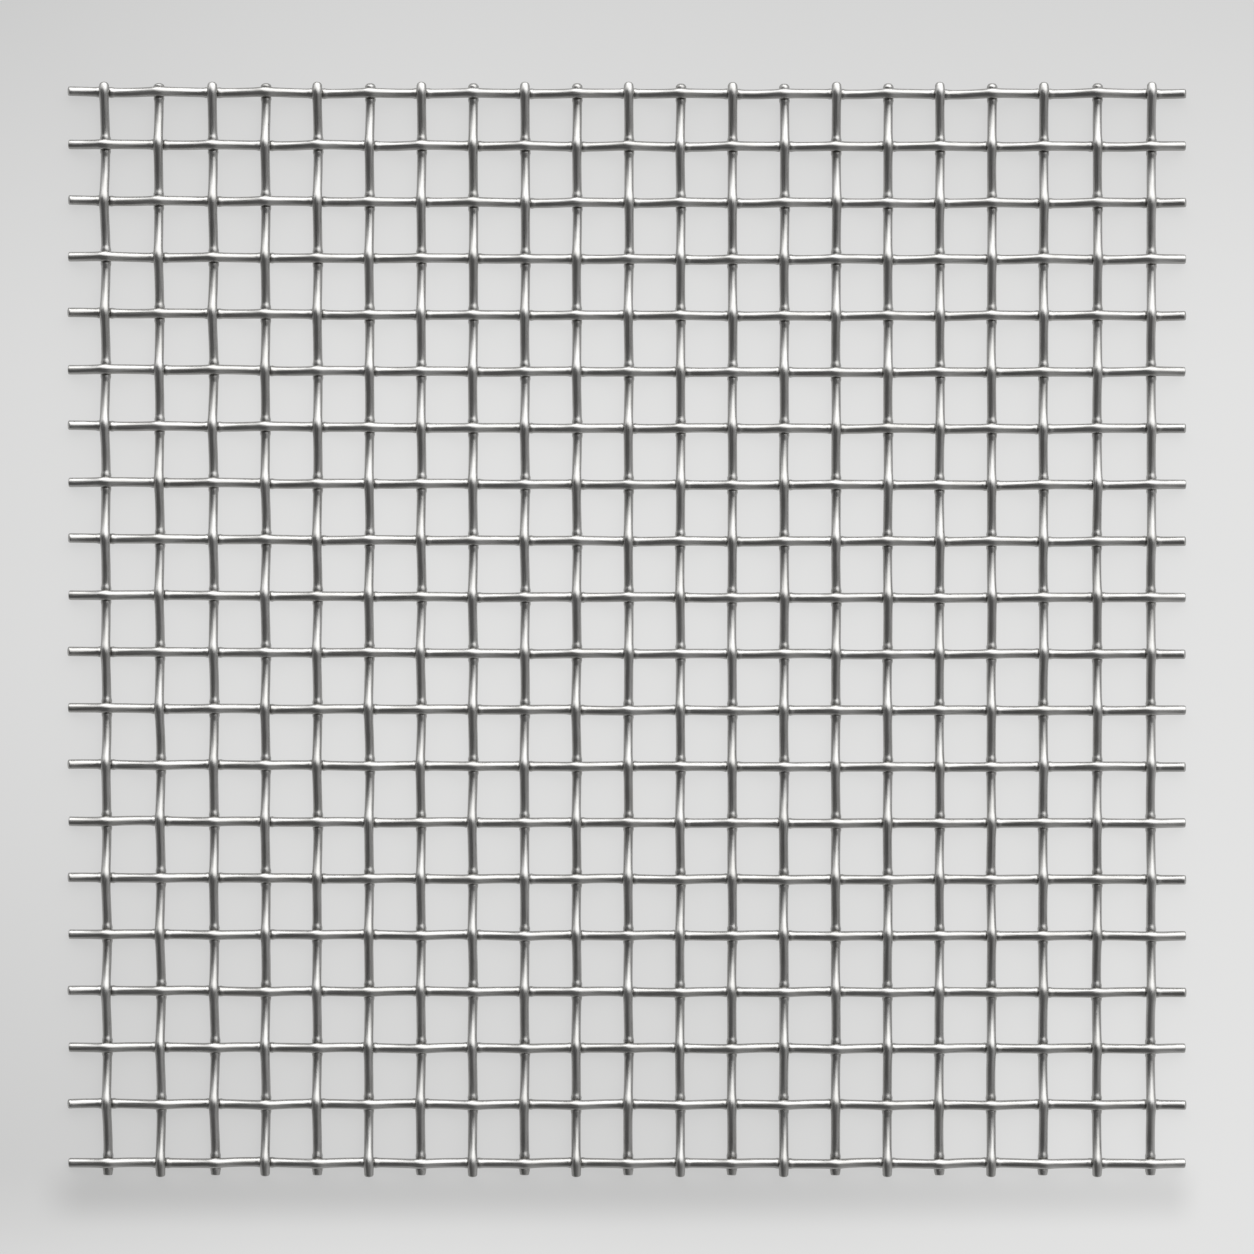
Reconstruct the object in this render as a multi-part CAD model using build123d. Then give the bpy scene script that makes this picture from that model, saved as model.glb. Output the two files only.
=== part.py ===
"""A square of plain-woven wire gauze, lying flat, in millimetres.

Warp wires run front to back along Y and weft wires run side to side along X. Each
wire is one crimped length that passes over one crossing wire and under the next, and
the crimps lock the cloth together, so nothing is welded and nothing moves. The origin
is the middle of the footprint, on the surface that the lower knuckles rest on.
"""

from build123d import *
import math
import os

# Round drawn wire, drawn here as a prism with this many pairs of opposite flats
WIRE_DIAMETER = 1.05
FLAT_PAIRS = 3

# Warp wires, side by side, with the gaps nearest each side edge drawn a little wider
WARP_COUNT = 21
WARP_SPACING = 5.95
SIDE_WARP_SPACING = 6.18
SIDE_GAP_COUNT = 2

# Weft wires, beaten closer at the back edge than at the front
WEFT_COUNT = 20
WEFT_SPACING = 6.47
BACK_WEFT_SPACING = 6.03
FRONT_WEFT_SPACING = 6.73

# Room left between two wires where they cross
SEAT_CLEARANCE = 0.02

# How far the cut ends stand out past the axis of the outermost crossing wire
LEFT_OVERHANG = 4.4
RIGHT_OVERHANG = 4.05
BACK_OVERHANG = 1.26
FRONT_OVERHANG = 1.5

# Rounded tips along the back edge, and the fine bevel of every other cut
TIP_BEVEL = 0.28
CUT_BEVEL = 0.09


def laid_out(gaps, overhang_before, overhang_after):
    """Axis positions these gaps apart, with the overhangs ending evenly about zero."""
    positions = [0.0]
    for gap in gaps:
        positions.append(positions[-1] + gap)
    middle = (positions[-1] + overhang_after - overhang_before) / 2
    return [position - middle for position in positions]


# Where each wire's axis lies across the sheet: warp from the left, weft from the front
SIDE_GAPS = [SIDE_WARP_SPACING] * SIDE_GAP_COUNT
WARP_GAPS = SIDE_GAPS + [WARP_SPACING] * (WARP_COUNT - 1 - 2 * SIDE_GAP_COUNT) + SIDE_GAPS
WEFT_GAPS = [FRONT_WEFT_SPACING] + [WEFT_SPACING] * (WEFT_COUNT - 3) + [BACK_WEFT_SPACING]
WARP_X = laid_out(WARP_GAPS, LEFT_OVERHANG, RIGHT_OVERHANG)
WEFT_Y = laid_out(WEFT_GAPS, FRONT_OVERHANG, BACK_OVERHANG)

# The section is a regular polygon of the round wire's area, with a flat above and below
SECTION_SIDES = 2 * FLAT_PAIRS
HALF_SIDE_ANGLE = math.pi / SECTION_SIDES
SECTION_RADIUS = WIRE_DIAMETER / 2 * math.sqrt(2 * HALF_SIDE_ANGLE / math.sin(2 * HALF_SIDE_ANGLE))
SECTION_APOTHEM = SECTION_RADIUS * math.cos(HALF_SIDE_ANGLE)
FLAT_HALF_WIDTH = SECTION_RADIUS * math.sin(HALF_SIDE_ANGLE)


def seated_crimp_height():
    """Height of a knuckle's axis above the sheet's middle plane, the same for both sets.

    Two crossing flats slope away from their knuckles, so they come nearest at their
    corners. The height that leaves the seat clearance there depends on the slopes,
    and the slopes on the height, so it is found by a few repeated steps.
    """
    tightest_gaps = (min(WARP_GAPS), min(WEFT_GAPS))
    height = WIRE_DIAMETER / 2
    for _ in range(12):
        slopes = [2 * height / gap for gap in tightest_gaps]
        knuckle_depths = sum(SECTION_APOTHEM * math.hypot(1, slope) for slope in slopes)
        corner_rise = sum(slopes) * FLAT_HALF_WIDTH
        height = (knuckle_depths + corner_rise + SEAT_CLEARANCE) / 2
    return height


CRIMP_HEIGHT = seated_crimp_height()
STEEPEST_SLOPE = 2 * CRIMP_HEIGHT / min(WARP_GAPS + WEFT_GAPS)
MIDDLE_Z = CRIMP_HEIGHT + SECTION_APOTHEM * math.hypot(1, STEEPEST_SLOPE)


def overhang_route(edge, inner, overhang):
    """Points (along, height) from the edge knuckle outward, keeping the crimp going to the cut."""
    gap = abs(edge[0] - inner[0])
    outward = math.copysign(1, edge[0] - inner[0])
    along, height = edge
    points = []
    while overhang > gap:
        along += outward * gap
        height = -height
        points.append((along, height))
        overhang -= gap
    points.append((along + outward * overhang, height * (1 - 2 * overhang / gap)))
    return points


def crimp_route(crossings, first_is_up, start_overhang, end_overhang):
    """Points (along, height) of a wire's axis, up and down in turn at the crossings."""
    knuckles = []
    for index, along in enumerate(crossings):
        is_up = (index % 2 == 0) == first_is_up
        knuckles.append((along, CRIMP_HEIGHT if is_up else -CRIMP_HEIGHT))
    start = overhang_route(knuckles[0], knuckles[1], start_overhang)
    end = overhang_route(knuckles[-1], knuckles[-2], end_overhang)
    return list(reversed(start)) + knuckles + end


def crimped_wire(points, across, start_bevel, end_bevel):
    """One wire swept along its axis with mitred knuckles, and both cut ends bevelled."""
    path = Polyline(*points)
    section = Plane(origin=path @ 0, z_dir=path % 0, x_dir=across) * RegularPolygon(
        radius=SECTION_RADIUS,
        side_count=SECTION_SIDES,
        rotation=90 - math.degrees(HALF_SIDE_ANGLE),
    )
    wire = sweep(section, path=path, transition=Transition.RIGHT)
    for point, bevel in ((points[0], start_bevel), (points[-1], end_bevel)):
        cut_end = wire.faces().sort_by_distance(point)[0]
        wire = chamfer(cut_end.edges(), length=bevel)
    return wire


def warp_wire(column):
    """A front-to-back wire. The first column passes over the back weft."""
    up_at_back = column % 2 == 0
    up_at_front = up_at_back == (WEFT_COUNT % 2 == 1)
    route = crimp_route(WEFT_Y, up_at_front, FRONT_OVERHANG, BACK_OVERHANG)
    points = [(WARP_X[column], along, MIDDLE_Z + height) for along, height in route]
    return crimped_wire(points, (1, 0, 0), CUT_BEVEL, TIP_BEVEL)


def weft_wire(row):
    """A side-to-side wire, counted from the back, where it passes under the first warp."""
    up_at_left = row % 2 == 1
    route = crimp_route(WARP_X, up_at_left, LEFT_OVERHANG, RIGHT_OVERHANG)
    points = [(along, WEFT_Y[-1 - row], MIDDLE_Z + height) for along, height in route]
    return crimped_wire(points, (0, 1, 0), CUT_BEVEL, CUT_BEVEL)


def main():
    os.makedirs("parts", exist_ok=True)
    for column in range(WARP_COUNT):
        export_step(warp_wire(column), f"parts/warp_wire_{column + 1:02d}.step")
    for row in range(WEFT_COUNT):
        export_step(weft_wire(row), f"parts/weft_wire_{row + 1:02d}.step")


main()
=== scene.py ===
"""Looks of the woven wire gauze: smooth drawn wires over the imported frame, in metres."""

import math
import random

import bpy
import numpy as np
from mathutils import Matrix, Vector


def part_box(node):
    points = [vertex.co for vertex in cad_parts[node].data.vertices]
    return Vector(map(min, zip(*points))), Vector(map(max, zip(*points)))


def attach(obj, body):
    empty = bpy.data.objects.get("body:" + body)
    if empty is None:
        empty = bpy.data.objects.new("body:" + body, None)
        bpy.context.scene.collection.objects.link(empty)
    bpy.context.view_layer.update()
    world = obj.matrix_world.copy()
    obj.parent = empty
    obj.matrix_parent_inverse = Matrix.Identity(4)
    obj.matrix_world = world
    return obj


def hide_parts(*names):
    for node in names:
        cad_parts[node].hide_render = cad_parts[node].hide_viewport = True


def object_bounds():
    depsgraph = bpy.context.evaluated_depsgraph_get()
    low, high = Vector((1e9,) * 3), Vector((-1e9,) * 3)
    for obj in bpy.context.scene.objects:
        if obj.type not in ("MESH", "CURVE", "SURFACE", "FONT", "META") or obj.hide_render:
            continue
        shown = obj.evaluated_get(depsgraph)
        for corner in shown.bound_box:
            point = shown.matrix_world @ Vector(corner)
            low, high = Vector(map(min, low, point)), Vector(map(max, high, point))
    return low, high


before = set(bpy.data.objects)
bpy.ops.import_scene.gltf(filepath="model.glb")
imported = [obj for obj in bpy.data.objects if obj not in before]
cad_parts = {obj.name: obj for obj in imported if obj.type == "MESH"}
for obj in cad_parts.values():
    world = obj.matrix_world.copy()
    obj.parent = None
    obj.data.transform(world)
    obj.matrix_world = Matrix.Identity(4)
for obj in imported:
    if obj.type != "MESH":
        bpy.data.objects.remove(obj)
cad_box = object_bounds()

MM = 0.001

# Wire and crimp
WIRE_DIAMETER = 1.05 * MM
SEAT_GAP = 0.004 * MM
KNUCKLE_WIDTH = 1.19 * MM
WARP_SPAN_WIDTH = 1.05 * MM
WEFT_SPAN_WIDTH = 1.09 * MM
KNUCKLE_TALL = 1.04 * MM
SEAT_SWELL = 0.13 * MM
SEAT_SWELL_PLACE = 0.76 * MM
SEAT_SWELL_REACH = 0.19 * MM
WARP_SWAY = 0.022 * MM
WEFT_SWAY = 0.028 * MM
KNUCKLE_SHARPNESS = 12
KNUCKLE_SHARE_OF_GAP = 0.10
STEEPER_AT_UPPER_KNUCKLE = 3.0

# Cloth pulled a little out of square, as its own lean, drop and bow
LEFT_LEAN = 0.15 * MM
RIGHT_LEAN = 0.05 * MM
RIGHT_DROP = 0.15 * MM
RIGHT_DROP_GROWTH = 0.05 * MM
BOW = 0.13 * MM
BOW_GROWTH = 0.10 * MM
EDGE_CALM = 0.5
LEANING_FROM = 0.55
LEANING_REACH = 0.25
WIRE_WOBBLE = 0.020 * MM
WOBBLE_LENGTHS = (13.0 * MM, 21.0 * MM, 47.0 * MM)
WOBBLE_SPREAD = (0.8, 1.25)

# Cut ends, how they are rounded, and how unevenly they are cut
BACK_OVERHANG = 1.26 * MM
FRONT_OVERHANG = 1.50 * MM
TIP_ROUND = 0.36 * MM
CUT_ROUND = 0.15 * MM
CUT_SPREAD = 0.10 * MM
LEAST_WARP_CUT_SHARE = -0.3
BOX_MARGIN = 0.12 * MM
FRONT_BOX_MARGIN = 0.15 * MM

# Steel: colours of clean and dull patches, what draw lines take away, the painted shade on the
# flanks and at the seats, and gloss
STEEL_CLEAN = (0.480, 0.476, 0.468, 1)
STEEL_DULL = (0.430, 0.425, 0.414, 1)
LINE_SHADE = (0.80, 0.80, 0.795, 1)
FLANK_PAINTED_SHADE = (0.38, 0.37, 0.345, 1)
SEAT_PAINTED_SHADE = (0.30, 0.29, 0.27, 1)
SEAT_FROM = 0.95
SEAT_TO = 0.985
FLANK_LOW = 0.08
FLANK_HIGH = 0.46
ROUGH_LOW = 0.25
ROUGH_HIGH = 0.35

# Steel's textures: how often each repeats (round and along the wire in girths, or per metre)
DRAW_LINES = {"stretch": (34, 0.55, 1), "scale": 1.0, "detail": 3, "roughness": 0.6}
FLATS = {"stretch": (5, 0.7, 1), "scale": 1.0, "detail": 2, "roughness": 0.5}
PATCHES = {"scale": 260, "detail": 3, "roughness": 0.55}
SPECKS = {"scale": 2600, "detail": 2, "roughness": 0.6}
PATCH_LOW = 0.35
PATCH_HIGH = 0.65
LINE_LOW = 0.3
LINE_HIGH = 0.7

# Steel's bumps
FLAT_DEPTH = 0.06 * MM
FLAT_STRENGTH = 0.8
LINE_DEPTH = 0.01 * MM
LINE_STRENGTH = 0.3
SPECK_DEPTH = 0.01 * MM
SPECK_STRENGTH = 0.2

# Floor: its colours, and how much glow it loses: painted shade toward the back, left and front
# edges of the view, and a painted shadow band past the sheet's front edge
FLOOR_HALF = 1.0
FLOOR_COLOUR = (0.72, 0.72, 0.715, 1)
FLOOR_GLOW = (0.785, 0.785, 0.782, 1)
FLOOR_GLOW_SHARE = 0.84
BACK_FADE = 0.225
BACK_FADE_FROM = 22 * MM
BACK_FADE_TO = 105 * MM
LEFT_FADE = 0.14
LEFT_FADE_FROM = -15 * MM
LEFT_FADE_TO = -110 * MM
FRONT_FADE = 0.20
FRONT_FADE_FROM = 7 * MM
FRONT_FADE_TO = -90 * MM
FRONT_RISE_FROM = -60 * MM
FRONT_RISE_TO = -78 * MM
FRONT_FADE_RIGHT_X = 72 * MM
FRONT_FADE_LEFT_FROM = -74 * MM
FRONT_FADE_LEFT_TO = -150 * MM
# Painted shadow: a soft dark band on the floor just past the sheet's front edge.
FRONT_PAINTED_SHADOW = 0.165
SHADE_Y = -65.0 * MM
SHADE_REACH = 4.5 * MM

# Studio: a dim room with a glow round its horizon, one broad soft window and two lesser ones
ROOM_OVERHEAD = 0.14
ROOM_HORIZON = 0.40
HORIZON_TOP = 0.50
MAIN_WINDOW = {"azimuth": 22, "elevation": 28, "brightness": 2.8, "inner": 8, "outer": 62}
LEFT_WINDOW = {"azimuth": -34, "elevation": 13, "brightness": 1.5, "inner": 5, "outer": 43}
RIGHT_WINDOW = {"azimuth": 120, "elevation": 25, "brightness": 0.3, "inner": 10, "outer": 50}

# Mesh density
SIDES = 20
RINGS_PER_GAP = 20
RING_CROWDING = 0.5
LEAST_SHARE_OF_RING = 1 / 3
TIP_STEPS = 6
CUT_STEPS = 3
PROFILE_POINTS = 401

# First seeds of the wires' waves and of the lengths of their cut ends
WARP_WAVE_SEED = 100
WEFT_WAVE_SEED = 200
WARP_END_SEED = 300
WEFT_END_SEED = 400

# Photograph's framing: 1254 pixels take in this much of the sheet's middle plane
PICTURE_WIDTH = 143.84 * MM
PICTURE_OFFSET_Y = 0.26 * MM
CAMERA_DISTANCE = 600 * MM
SENSOR_WIDTH = 36.0
NEAREST_SEEN = 0.01
FARTHEST_SEEN = 10

WHITE = (1.0, 1.0, 1.0, 1)


def wire_names(kind):
    """Node names of one set of wires, in the order they are numbered."""
    return sorted(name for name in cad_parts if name.startswith(kind))


def box_middle(node, axis):
    low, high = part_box(node)
    return (low[axis] + high[axis]) / 2


WARP_NODES = wire_names("warp_wire")
WEFT_NODES = wire_names("weft_wire")
WARP_X = [box_middle(node, 0) for node in WARP_NODES]
WEFT_Y = [box_middle(node, 1) for node in WEFT_NODES]
MIDDLE_Z = (cad_box[0].z + cad_box[1].z) / 2
CRIMP_HEIGHT = (WIRE_DIAMETER + SEAT_GAP) / 2
HALF_WIDTH = (cad_box[1].x - cad_box[0].x) / 2
HALF_DEPTH = (cad_box[1].y - cad_box[0].y) / 2


def eased(value):
    """0 below 0, 1 above 1 and a smooth step between."""
    clamped = np.clip(value, 0.0, 1.0)
    return clamped * clamped * (3 - 2 * clamped)


def cloth_shift(x, y):
    """How far the whole cloth is pulled out of square at a place, across and up."""
    across = x / HALF_WIDTH
    up = y / HALF_DEPTH
    left_part = eased((-across - LEANING_FROM) / LEANING_REACH)
    shift_x = up * (RIGHT_LEAN * (1 - left_part) - LEFT_LEAN * left_part)
    drop = across * (RIGHT_DROP + RIGHT_DROP_GROWTH * up)
    bow = (BOW + BOW_GROWTH * up) * (across**2 - 1 / 3)
    shift_y = (bow - drop) * (1 - EDGE_CALM * up**2)
    return shift_x, shift_y


def wobbles(seed):
    """A wire's own small waves in the sheet's plane, as (length, phase) pairs."""
    chance = random.Random(seed)
    waves = []
    for length in WOBBLE_LENGTHS:
        own_length = length * chance.uniform(*WOBBLE_SPREAD)
        phase = chance.uniform(0, 2 * math.pi)
        waves.append((own_length, phase))
    return waves


def wobble_at(waves, along):
    total = 0.0
    for length, phase in waves:
        total = total + WIRE_WOBBLE * np.sin(2 * math.pi * along / length + phase)
    return total


WARP_WAVES = [wobbles(WARP_WAVE_SEED + column) for column in range(len(WARP_X))]
WEFT_WAVES = [wobbles(WEFT_WAVE_SEED + row) for row in range(len(WEFT_Y))]


def warp_path(column, y):
    """x of a warp wire's axis at y."""
    return WARP_X[column] + cloth_shift(WARP_X[column], y)[0] + wobble_at(WARP_WAVES[column], y)


def weft_path(row, x):
    """y of a weft wire's axis at x."""
    return WEFT_Y[row] + cloth_shift(x, WEFT_Y[row])[1] + wobble_at(WEFT_WAVES[row], x)


def crimp_profile():
    """Shares of a gap, and of the way down, from an upper knuckle to the next lower one."""
    share = np.linspace(0, 1, PROFILE_POINTS)
    slope = eased(share / KNUCKLE_SHARE_OF_GAP) * eased((1 - share) / KNUCKLE_SHARE_OF_GAP)
    slope = slope * (1 + STEEPER_AT_UPPER_KNUCKLE * (0.5 - share))
    fallen = np.concatenate([[0.0], np.cumsum((slope[1:] + slope[:-1]) / 2)])
    return share, fallen / fallen[-1]


PROFILE_SHARE, PROFILE_FALL = crimp_profile()


def crimp_at(along, crossings, signs):
    """The crimp at places along a wire: its axis height and three measures of where it is.

    They are the nearness to a knuckle (1 at an upper one and -1 at a lower one), the sway
    between knuckles (-1 to 1), and the distance to the seat at the lower knuckle.
    """
    gaps = np.diff(crossings)
    starts = np.concatenate([[crossings[0] - gaps[0]], crossings])
    spans = np.concatenate([[gaps[0]], gaps, [gaps[-1]]])
    start_signs = np.concatenate([[-signs[0]], signs])
    index = np.clip(np.searchsorted(starts, along, side="right") - 1, 0, len(starts) - 1)
    share = (along - starts[index]) / spans[index]
    sign = start_signs[index]
    from_upper = np.where(sign > 0, share, 1 - share)
    height = CRIMP_HEIGHT * (1 - 2 * np.interp(from_upper, PROFILE_SHARE, PROFILE_FALL))
    nearness = np.cos(math.pi * from_upper)
    sway = sign * np.sin(math.pi * share)
    to_seat = (1 - from_upper) * spans[index]
    return height, nearness, sway, to_seat


def ring_places(start, end, crossings):
    """Places along a wire where its rings sit, closer together near the crossings."""
    gaps = np.diff(crossings)
    marks = np.concatenate([[crossings[0] - gaps[0]], crossings, [crossings[-1] + gaps[-1]]])
    even = np.linspace(0, 1, RINGS_PER_GAP, endpoint=False)
    shares = even - RING_CROWDING * np.sin(2 * math.pi * even) / (2 * math.pi)
    places = []
    for low, high in zip(marks[:-1], marks[1:]):
        places.extend(low + (high - low) * shares)
    room = (crossings[1] - crossings[0]) / RINGS_PER_GAP * LEAST_SHARE_OF_RING
    inner = [place for place in places if start + room < place < end - room]
    return [start] + inner + [end]


def end_rings(place, outward, rounding):
    """(place, shrink) pairs that round a cut end over, from the full section to its face."""
    steps = TIP_STEPS if rounding > CUT_ROUND else CUT_STEPS
    rings = []
    for step in range(1, steps + 1):
        turn = math.pi / 2 * step / steps
        rings.append((place + outward * rounding * math.sin(turn), rounding * (1 - math.cos(turn))))
    return rings


def ringed(start, end, crossings, start_round, end_round):
    """All (place, shrink) pairs of a wire, its rounded ends among them."""
    places = ring_places(start + start_round, end - end_round, crossings)
    first = list(reversed(end_rings(places[0], -1, start_round)))
    last = end_rings(places[-1], 1, end_round)
    return first + [(place, 0.0) for place in places] + last


def build_wire(name, along_x, path, start, end, crossings, signs, start_round, end_round):
    """A smooth round wire as a mesh, with UVs that run round it and along it."""
    rings = ringed(start, end, crossings, start_round, end_round)
    along = np.array([place for place, _ in rings])
    shrink = np.array([amount for _, amount in rings])
    height, nearness, sway, to_seat = crimp_at(along, crossings, signs)
    swell = SEAT_SWELL * np.exp(-(((to_seat - SEAT_SWELL_PLACE) / SEAT_SWELL_REACH) ** 2))
    knuckle = np.abs(nearness) ** KNUCKLE_SHARPNESS
    across = path(along) + (WEFT_SWAY * sway if along_x else -WARP_SWAY * nearness)
    slope = np.gradient(height, along)
    length = np.sqrt(1 + slope**2)
    lean = np.gradient(across, along)
    span_width = WEFT_SPAN_WIDTH if along_x else WARP_SPAN_WIDTH
    wide = (span_width + (KNUCKLE_WIDTH - span_width) * knuckle) / 2 + swell / 2 - shrink
    tall = (WIRE_DIAMETER + (KNUCKLE_TALL - WIRE_DIAMETER) * knuckle) / 2 - shrink
    turns = np.linspace(0, 2 * math.pi, SIDES, endpoint=False)
    side = wide[:, None] * np.cos(turns)[None, :]
    rise = np.sin(turns)[None, :]
    up = (tall[:, None] + swell[:, None] * np.maximum(rise, 0)) * rise
    place_along = along[:, None] - up * (slope / length)[:, None] - side * lean[:, None]
    place_across = across[:, None] + side
    place_up = MIDDLE_Z + height[:, None] + up / length[:, None]
    if along_x:
        grid = np.stack([place_along, place_across, place_up], axis=2)
    else:
        grid = np.stack([place_across, place_along, place_up], axis=2)
    count = len(along)
    mesh = tube_mesh(name, grid, count, flipped=along_x)
    travelled = np.concatenate([[0.0], np.cumsum(np.diff(along) * (length[1:] + length[:-1]) / 2)])
    add_wire_uv(mesh, travelled / (math.pi * WIRE_DIAMETER), count)
    near = mesh.attributes.new("knuckle", "FLOAT", "POINT")
    near.data.foreach_set("value", np.repeat(nearness, SIDES).astype(np.float32))
    piece = bpy.data.objects.new(name, mesh)
    bpy.context.scene.collection.objects.link(piece)
    return piece


def tube_mesh(name, grid, count, flipped):
    """Mesh of rings joined by quads and closed by a face at each end."""
    faces = []
    for ring in range(count - 1):
        for turn in range(SIDES):
            other = (turn + 1) % SIDES
            faces.append((
                ring * SIDES + turn,
                (ring + 1) * SIDES + turn,
                (ring + 1) * SIDES + other,
                ring * SIDES + other,
            ))
    faces.append(tuple(range(SIDES)))
    faces.append(tuple((count - 1) * SIDES + turn for turn in reversed(range(SIDES))))
    if flipped:
        faces = [tuple(reversed(face)) for face in faces]
    mesh = bpy.data.meshes.new(name)
    mesh.from_pydata(grid.reshape(-1, 3).tolist(), [], faces)
    mesh.polygons.foreach_set("use_smooth", [True] * (len(faces) - 2) + [False] * 2)
    mesh.update()
    return mesh


def add_wire_uv(mesh, travelled, count):
    """UVs in wire girths: u once round the wire, v along it."""
    layer = mesh.uv_layers.new(name="wire")
    vertex_of_loop = np.empty(len(mesh.loops), dtype=np.int32)
    mesh.loops.foreach_get("vertex_index", vertex_of_loop)
    ring, turn = np.divmod(vertex_of_loop, SIDES)
    around = turn / SIDES
    quads = (count - 1) * SIDES
    quad_of_loop = np.arange(quads * 4) // 4
    closing = (quad_of_loop % SIDES == SIDES - 1) & (turn[:quads * 4] == 0)
    around[:quads * 4][closing] = 1.0
    uv = np.stack([around, travelled[ring]], axis=1)
    layer.data.foreach_set("uv", uv.astype(np.float32).ravel())


def scaled(nodes, links, source, scale):
    """Coordinates from a socket, stretched by three factors."""
    mapping = nodes.new("ShaderNodeMapping")
    mapping.inputs["Scale"].default_value = scale
    links.new(source, mapping.inputs["Vector"])
    return mapping.outputs["Vector"]


def noise(nodes, links, coordinates, kind):
    """A noise of one of the kinds named above, stretched first where the kind says so."""
    if "stretch" in kind:
        coordinates = scaled(nodes, links, coordinates, kind["stretch"])
    texture = nodes.new("ShaderNodeTexNoise")
    texture.inputs["Scale"].default_value = kind["scale"]
    texture.inputs["Detail"].default_value = kind["detail"]
    texture.inputs["Roughness"].default_value = kind["roughness"]
    links.new(coordinates, texture.inputs["Vector"])
    return texture.outputs["Fac"]


def ranged(nodes, links, source, from_low, from_high, to_low, to_high):
    """A socket's values moved from one range to another, with a smooth step."""
    node = nodes.new("ShaderNodeMapRange")
    node.interpolation_type = "SMOOTHSTEP"
    node.inputs["From Min"].default_value = from_low
    node.inputs["From Max"].default_value = from_high
    node.inputs["To Min"].default_value = to_low
    node.inputs["To Max"].default_value = to_high
    links.new(source, node.inputs["Value"])
    return node.outputs["Result"]


def math_node(nodes, links, operation, first, second):
    """A sum, difference or product of two values, each a socket or a plain number."""
    node = nodes.new("ShaderNodeMath")
    node.operation = operation
    for socket, value in zip(node.inputs, (first, second)):
        if isinstance(value, (float, int)):
            socket.default_value = value
        else:
            links.new(value, socket)
    return node.outputs[0]


def blended(nodes, links, factor, first, second, kind="MIX"):
    """A colour mixed from two, each a socket or a plain colour."""
    node = nodes.new("ShaderNodeMix")
    node.data_type = "RGBA"
    node.blend_type = kind
    for name, value in (("Factor", factor), ("A", first), ("B", second)):
        socket = node.inputs[name]
        if isinstance(value, (float, int, tuple)):
            socket.default_value = value
        else:
            links.new(value, socket)
    return node.outputs["Result"]


def bumped(nodes, links, height, depth, strength, under):
    """A normal pushed about by a height, on top of another normal where one is given."""
    node = nodes.new("ShaderNodeBump")
    node.inputs["Strength"].default_value = strength
    node.inputs["Distance"].default_value = depth
    links.new(height, node.inputs["Height"])
    if under is not None:
        links.new(under, node.inputs["Normal"])
    return node.outputs["Normal"]


def steel_material():
    """Bright drawn steel, with draw lines and patchy tone, and painted shade on its flanks and at
    its seats.
    """
    material = bpy.data.materials.new("drawn_steel")
    material.use_nodes = True
    nodes = material.node_tree.nodes
    links = material.node_tree.links
    shader = nodes["Principled BSDF"]
    shader.inputs["Metallic"].default_value = 1.0
    coordinates = nodes.new("ShaderNodeTexCoord")
    wire_uv = nodes.new("ShaderNodeUVMap")
    wire_uv.uv_map = "wire"
    lines = noise(nodes, links, wire_uv.outputs["UV"], DRAW_LINES)
    flats = noise(nodes, links, wire_uv.outputs["UV"], FLATS)
    patches = noise(nodes, links, coordinates.outputs["Object"], PATCHES)
    specks = noise(nodes, links, coordinates.outputs["Object"], SPECKS)

    patch = ranged(nodes, links, patches, PATCH_LOW, PATCH_HIGH, 0.0, 1.0)
    line = ranged(nodes, links, lines, LINE_LOW, LINE_HIGH, 0.0, 1.0)
    clean = blended(nodes, links, patch, STEEL_DULL, STEEL_CLEAN)
    lined = blended(nodes, links, line, LINE_SHADE, WHITE)
    body = blended(nodes, links, 1.0, clean, lined, "MULTIPLY")

    # Painted shade: the wire is darkened on its sides and underside, where its surface turns away
    # from up.
    facing = nodes.new("ShaderNodeSeparateXYZ")
    links.new(coordinates.outputs["Normal"], facing.inputs[0])
    flank = ranged(nodes, links, facing.outputs["Z"], FLANK_LOW, FLANK_HIGH, 0.0, 1.0)
    painted_flank_shade = blended(nodes, links, flank, FLANK_PAINTED_SHADE, WHITE)
    tone = blended(nodes, links, 1.0, body, painted_flank_shade, "MULTIPLY")

    # Painted shade: the wire is darkened just before each seat, where it dives under the crossing
    # wire.
    near = nodes.new("ShaderNodeAttribute")
    near.attribute_name = "knuckle"
    seat = ranged(nodes, links, near.outputs["Fac"], -SEAT_TO, -SEAT_FROM, 0.0, 1.0)
    seat_painted_shade = blended(nodes, links, seat, SEAT_PAINTED_SHADE, WHITE)
    links.new(blended(nodes, links, 1.0, tone, seat_painted_shade, "MULTIPLY"), shader.inputs["Base Color"])

    rough = ranged(nodes, links, lines, LINE_LOW, LINE_HIGH, ROUGH_LOW, ROUGH_HIGH)
    links.new(rough, shader.inputs["Roughness"])

    raised = bumped(nodes, links, flats, FLAT_DEPTH, FLAT_STRENGTH, None)
    raised = bumped(nodes, links, lines, LINE_DEPTH, LINE_STRENGTH, raised)
    raised = bumped(nodes, links, specks, SPECK_DEPTH, SPECK_STRENGTH, raised)
    links.new(raised, shader.inputs["Normal"])
    return material


def rising(nodes, links, source, zero_at, one_at):
    """A factor that rises smoothly from 0 to 1 between two values, whichever is the larger."""
    if zero_at < one_at:
        return ranged(nodes, links, source, zero_at, one_at, 0.0, 1.0)
    return ranged(nodes, links, source, one_at, zero_at, 1.0, 0.0)


def kept_between(nodes, links, value, edges):
    """A value that fades out past each edge, given as (source, zero at, one at)."""
    for source, zero_at, one_at in edges:
        factor = rising(nodes, links, source, zero_at, one_at)
        value = math_node(nodes, links, "MULTIPLY", value, factor)
    return value


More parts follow.
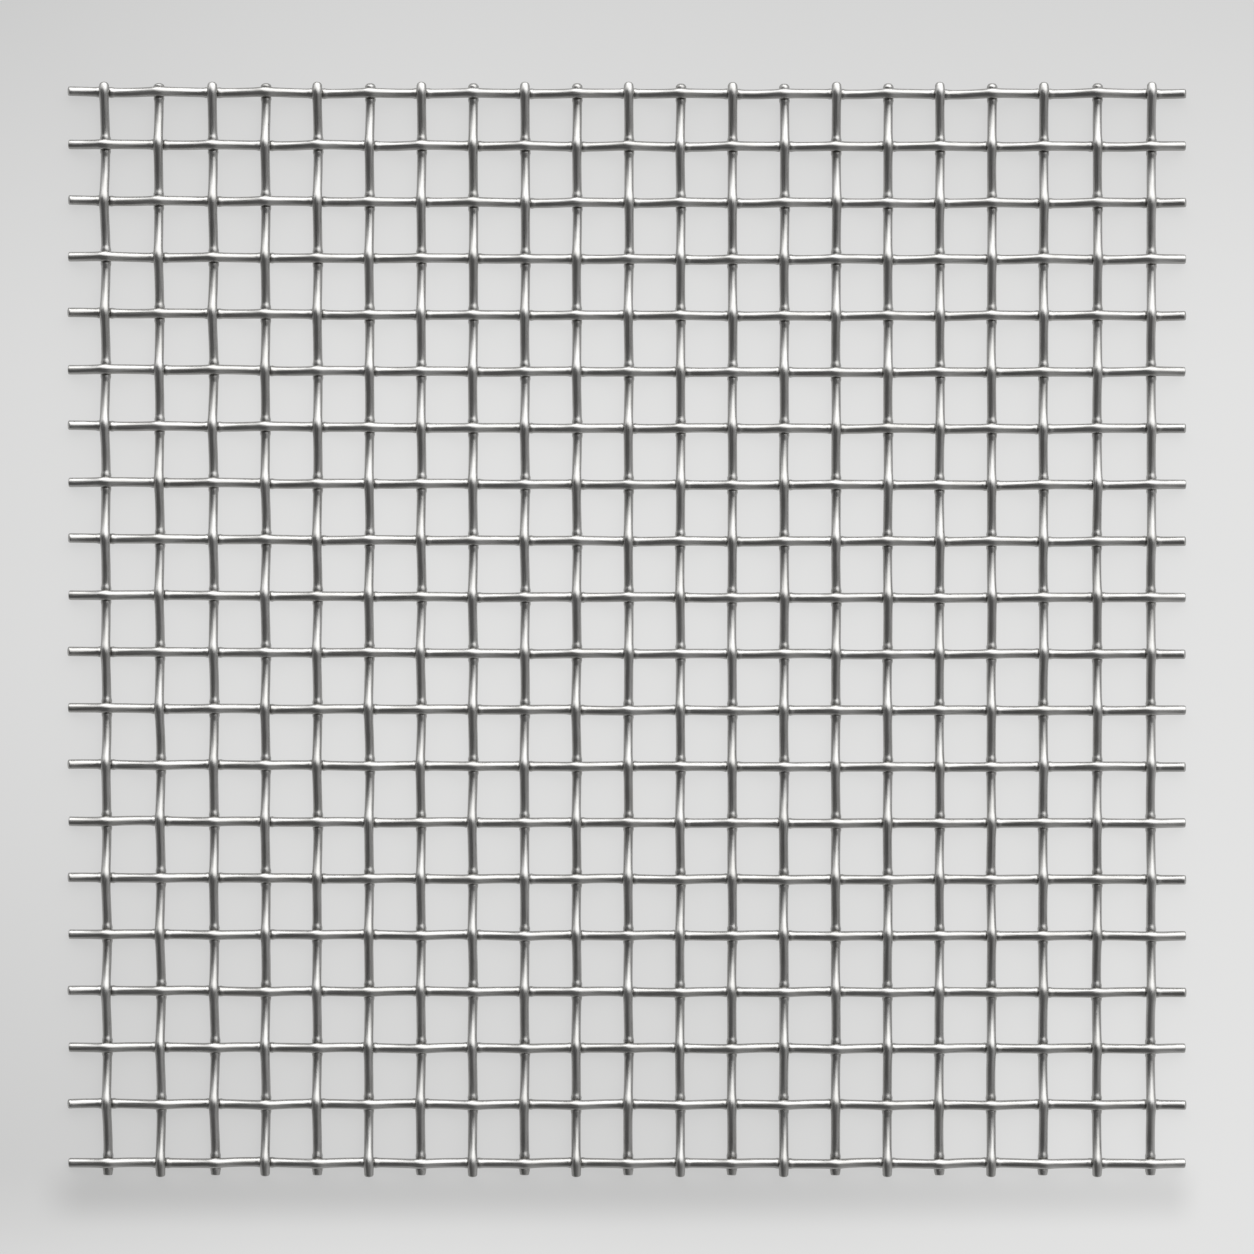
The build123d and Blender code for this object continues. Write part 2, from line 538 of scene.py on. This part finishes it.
def floor_fade(nodes, links):
    """How much of the floor's glow is lost at a place: painted shade toward its edges and a painted
    shadow band just past the sheet's front edge.
    """
    coordinates = nodes.new("ShaderNodeTexCoord")
    axes = nodes.new("ShaderNodeSeparateXYZ")
    links.new(coordinates.outputs["Object"], axes.inputs[0])
    x = axes.outputs["X"]
    y = axes.outputs["Y"]
    # Painted shade: the floor's glow is dimmed toward the back, the left and the front.
    back = ranged(nodes, links, y, BACK_FADE_FROM, BACK_FADE_TO, 0.0, BACK_FADE)
    left = ranged(nodes, links, x, LEFT_FADE_TO, LEFT_FADE_FROM, LEFT_FADE, 0.0)
    front = ranged(nodes, links, y, FRONT_FADE_TO, FRONT_FADE_FROM, FRONT_FADE, 0.0)
    front = kept_between(nodes, links, front, (
        (x, FRONT_FADE_RIGHT_X, 0.0),
        (x, FRONT_FADE_LEFT_TO, FRONT_FADE_LEFT_FROM),
        (y, FRONT_RISE_TO, FRONT_RISE_FROM),
    ))
    # Painted shadow: a soft dark band just past the sheet's front edge.
    painted_shadow = ranged(nodes, links, y, SHADE_Y, SHADE_Y + SHADE_REACH, FRONT_PAINTED_SHADOW, 0.0)
    painted_shadow = kept_between(nodes, links, painted_shadow, (
        (y, SHADE_Y - SHADE_REACH, SHADE_Y),
        (x, HALF_WIDTH + SHADE_REACH / 2, HALF_WIDTH - SHADE_REACH / 2),
        (x, -HALF_WIDTH - SHADE_REACH, SHADE_REACH / 2 - HALF_WIDTH),
    ))
    total = back
    for part in (left, front, painted_shadow):
        total = math_node(nodes, links, "ADD", total, part)
    return total


def floor_material():
    """Pale floor, mostly its own glow, so that the sheet's real shadow stays faint; painted shade
    dims it toward its edges, and a painted shadow band lies past the sheet's front edge.
    """
    material = bpy.data.materials.new("pale_floor")
    material.use_nodes = True
    nodes = material.node_tree.nodes
    links = material.node_tree.links
    nodes.clear()
    output = nodes.new("ShaderNodeOutputMaterial")
    mix = nodes.new("ShaderNodeMixShader")
    mix.inputs["Fac"].default_value = FLOOR_GLOW_SHARE
    diffuse = nodes.new("ShaderNodeBsdfDiffuse")
    diffuse.inputs["Color"].default_value = FLOOR_COLOUR
    glow = nodes.new("ShaderNodeEmission")
    glow.inputs["Color"].default_value = FLOOR_GLOW
    left_over = math_node(nodes, links, "SUBTRACT", 1.0, floor_fade(nodes, links))
    links.new(left_over, glow.inputs["Strength"])
    links.new(diffuse.outputs[0], mix.inputs[1])
    links.new(glow.outputs[0], mix.inputs[2])
    links.new(mix.outputs[0], output.inputs["Surface"])
    return material


def dress(piece, node, material):
    piece.data.materials.append(material)
    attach(piece, "root")
    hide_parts(node)


def make_warp(column, material):
    node = WARP_NODES[column]
    chance = random.Random(WARP_END_SEED + column)
    x = WARP_X[column]
    rows = list(reversed(range(len(WEFT_Y))))
    crossings = np.array([weft_path(row, x) for row in rows])
    signs = np.array([1 if (column + row) % 2 == 0 else -1 for row in rows])
    back_end = crossings[-1] + BACK_OVERHANG - chance.uniform(LEAST_WARP_CUT_SHARE, 1) * CUT_SPREAD
    front_end = crossings[0] - FRONT_OVERHANG + chance.uniform(LEAST_WARP_CUT_SHARE, 1) * CUT_SPREAD
    back_end = min(back_end, cad_box[1].y - BOX_MARGIN)
    front_end = max(front_end, cad_box[0].y + FRONT_BOX_MARGIN)
    piece = build_wire(
        "round_" + node, False, lambda y: warp_path(column, y), front_end, back_end,
        crossings, signs, CUT_ROUND, TIP_ROUND,
    )
    dress(piece, node, material)


def make_weft(row, material):
    node = WEFT_NODES[row]
    chance = random.Random(WEFT_END_SEED + row)
    y = WEFT_Y[row]
    columns = range(len(WARP_X))
    crossings = np.array([warp_path(column, y) for column in columns])
    signs = np.array([-1 if (column + row) % 2 == 0 else 1 for column in columns])
    left_end = cad_box[0].x + BOX_MARGIN + chance.uniform(0, 1) * CUT_SPREAD
    right_end = cad_box[1].x - BOX_MARGIN - chance.uniform(0, 1) * CUT_SPREAD
    piece = build_wire(
        "round_" + node, True, lambda x: weft_path(row, x), left_end, right_end,
        crossings, signs, CUT_ROUND, CUT_ROUND,
    )
    dress(piece, node, material)


def make_wires():
    material = steel_material()
    for column in range(len(WARP_X)):
        make_warp(column, material)
    for row in range(len(WEFT_Y)):
        make_weft(row, material)


def make_floor():
    corners = [
        (-FLOOR_HALF, -FLOOR_HALF, 0),
        (FLOOR_HALF, -FLOOR_HALF, 0),
        (FLOOR_HALF, FLOOR_HALF, 0),
        (-FLOOR_HALF, FLOOR_HALF, 0),
    ]
    mesh = bpy.data.meshes.new("floor")
    mesh.from_pydata(corners, [], [(0, 1, 2, 3)])
    floor = bpy.data.objects.new("floor", mesh)
    bpy.context.scene.collection.objects.link(floor)
    floor.data.materials.append(floor_material())


def toward(azimuth, elevation):
    """Direction to a compass azimuth (0 is +Y, 90 is +X) and an elevation, in degrees."""
    turn = math.radians(azimuth)
    rise = math.radians(elevation)
    level = math.cos(rise)
    return Vector((math.sin(turn) * level, math.cos(turn) * level, math.sin(rise)))


def window_light(nodes, links, direction, window):
    """Brightness of a soft window that fades out between two angles from its middle."""
    facing = nodes.new("ShaderNodeVectorMath")
    facing.operation = "DOT_PRODUCT"
    facing.inputs[1].default_value = toward(window["azimuth"], window["elevation"])
    links.new(direction, facing.inputs[0])
    edge = math.cos(math.radians(window["outer"]))
    middle = math.cos(math.radians(window["inner"]))
    return ranged(nodes, links, facing.outputs["Value"], edge, middle, 0.0, window["brightness"])


def make_room():
    """A dim room, lighter round the horizon, lit by soft windows."""
    world = bpy.data.worlds.new("studio")
    bpy.context.scene.world = world
    world.use_nodes = True
    nodes = world.node_tree.nodes
    links = world.node_tree.links
    background = nodes["Background"]
    background.inputs["Color"].default_value = WHITE
    coordinates = nodes.new("ShaderNodeTexCoord")
    direction = coordinates.outputs["Generated"]
    axes = nodes.new("ShaderNodeSeparateXYZ")
    links.new(direction, axes.inputs[0])
    level = ranged(nodes, links, axes.outputs["Z"], 0.0, HORIZON_TOP, ROOM_HORIZON, ROOM_OVERHEAD)
    for window in (MAIN_WINDOW, LEFT_WINDOW, RIGHT_WINDOW):
        light = window_light(nodes, links, direction, window)
        level = math_node(nodes, links, "ADD", level, light)
    links.new(level, background.inputs["Strength"])


def make_camera():
    data = bpy.data.cameras.new("camera")
    data.sensor_width = SENSOR_WIDTH
    data.lens = SENSOR_WIDTH * CAMERA_DISTANCE / PICTURE_WIDTH
    data.clip_start = NEAREST_SEEN
    data.clip_end = FARTHEST_SEEN
    camera = bpy.data.objects.new("camera", data)
    camera.location = (0, PICTURE_OFFSET_Y, MIDDLE_Z + CAMERA_DISTANCE)
    bpy.context.scene.collection.objects.link(camera)
    bpy.context.scene.camera = camera


make_wires()
make_floor()
make_room()
make_camera()
bpy.context.scene.view_settings.view_transform = "Standard"
